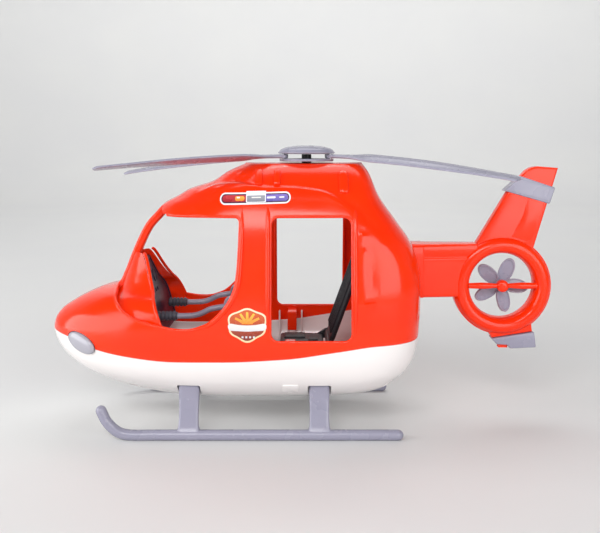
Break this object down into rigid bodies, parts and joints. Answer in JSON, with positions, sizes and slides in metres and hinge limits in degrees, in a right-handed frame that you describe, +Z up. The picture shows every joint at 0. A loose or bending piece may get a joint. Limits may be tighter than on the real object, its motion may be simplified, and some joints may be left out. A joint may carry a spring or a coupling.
{
  "type": "toy helicopter",
  "caption": "Toy rescue helicopter with an open cabin, a turning rotor with folding blades, a tail fan in a duct, steering levers, a tilting seat back and skids.",
  "frame": {"origin": "centre of the whole object's box in x and y, at the flats of the skids in z", "axes": "+X towards the tail, +Y towards the helicopter's right side, +Z up along the rotor's axis"},
  "size_m": [0.4649, 0.1702, 0.2524],
  "materials": {
    "red": "glossy moulded red-orange",
    "white": "glossy moulded white",
    "grey": "glossy moulded light grey",
    "black": "satin moulded black",
    "grip": "ribbed dark grey",
    "natural": "plain off-white",
    "steel": "zinc plated"
  },
  "bodies": {
    "airframe": {"cabin_shell_left": "red", "cabin_shell_right": "red", "nose_hood": "red", "tail_shell_left": "red", "tail_shell_right": "red", "belly_shell": "white", "headlamp_left": "grey", "headlamp_right": "grey", "fin_collar": "grey", "fin_foot_cap": "grey", "skid_left": "grey", "skid_right": "grey", "dashboard": "black", "seat_base": "black", "lever_bracket": "black", "lever_pin_left": "natural", "lever_pin_right": "natural", "belly_screw_front_left": "steel", "belly_screw_front_right": "steel", "belly_screw_middle_left": "steel", "belly_screw_middle_right": "steel", "belly_screw_rear_left": "steel", "belly_screw_rear_right": "steel", "boom_screw_lower_left": "steel", "boom_screw_upper_left": "steel", "boom_screw_lower_right": "steel", "boom_screw_upper_right": "steel", "tail_screw_upper": "steel", "tail_screw_tip": "steel", "seat_screw": "steel", "skid_screw_front_left": "steel", "skid_screw_front_right": "steel", "skid_screw_rear_left": "steel", "skid_screw_rear_right": "steel", "fan_axle": "steel", "seat_hinge_pin": "steel"},
    "main_rotor": {"rotor_mast": "grey", "rotor_plate": "grey", "rotor_cap": "grey", "mast_nut": "natural", "blade_pin_front_left": "steel", "blade_pin_front_right": "steel", "blade_pin_rear_left": "steel", "blade_pin_rear_right": "steel"},
    "blade_front_left": {"blade_front_left": "grey"},
    "blade_front_right": {"blade_front_right": "grey"},
    "blade_rear_left": {"blade_rear_left": "grey"},
    "blade_rear_right": {"blade_rear_right": "grey"},
    "tail_fan": {"tail_fan": "grey"},
    "steering_lever_left": {"lever_left": "grey", "grip_left": "grip"},
    "steering_lever_right": {"lever_right": "grey", "grip_right": "grip"},
    "seat_back": {"seat_back": "black"}
  },
  "joints": [
    {"name": "main_rotor_spin", "type": "hinge", "parent": "airframe", "child": "main_rotor", "pos_m": [0.0012, 0, 0.2424], "axis": [0, 0, 1], "continuous": true},
    {"name": "blade_fold_front_left", "type": "hinge", "parent": "main_rotor", "child": "blade_front_left", "pos_m": [-0.0203, -0.0095, 0.2424], "axis": [0, 0, 1], "range_deg": [-10, 24]},
    {"name": "blade_fold_front_right", "type": "hinge", "parent": "main_rotor", "child": "blade_front_right", "pos_m": [-0.0203, 0.0095, 0.2424], "axis": [0, 0, -1], "range_deg": [-10, 24]},
    {"name": "blade_fold_rear_left", "type": "hinge", "parent": "main_rotor", "child": "blade_rear_left", "pos_m": [0.0227, -0.0095, 0.2424], "axis": [0, 0, -1], "range_deg": [-10, 24]},
    {"name": "blade_fold_rear_right", "type": "hinge", "parent": "main_rotor", "child": "blade_rear_right", "pos_m": [0.0227, 0.0095, 0.2424], "axis": [0, 0, 1], "range_deg": [-10, 24]},
    {"name": "tail_fan_spin", "type": "hinge", "parent": "airframe", "child": "tail_fan", "pos_m": [0.1825, 0.002, 0.1225], "axis": [0, 1, 0], "continuous": true},
    {"name": "steering_lever_left_swing", "type": "hinge", "parent": "airframe", "child": "steering_lever_left", "pos_m": [-0.066, -0.031, 0.111], "axis": [0, 1, 0], "range_deg": [-12, 25]},
    {"name": "steering_lever_right_swing", "type": "hinge", "parent": "airframe", "child": "steering_lever_right", "pos_m": [-0.066, 0.031, 0.111], "axis": [0, 1, 0], "range_deg": [-12, 25]},
    {"name": "seat_back_tilt", "type": "hinge", "parent": "airframe", "child": "seat_back", "pos_m": [0.0227, 0, 0.071], "axis": [0, 1, 0], "range_deg": [-20, 25]}
  ]
}
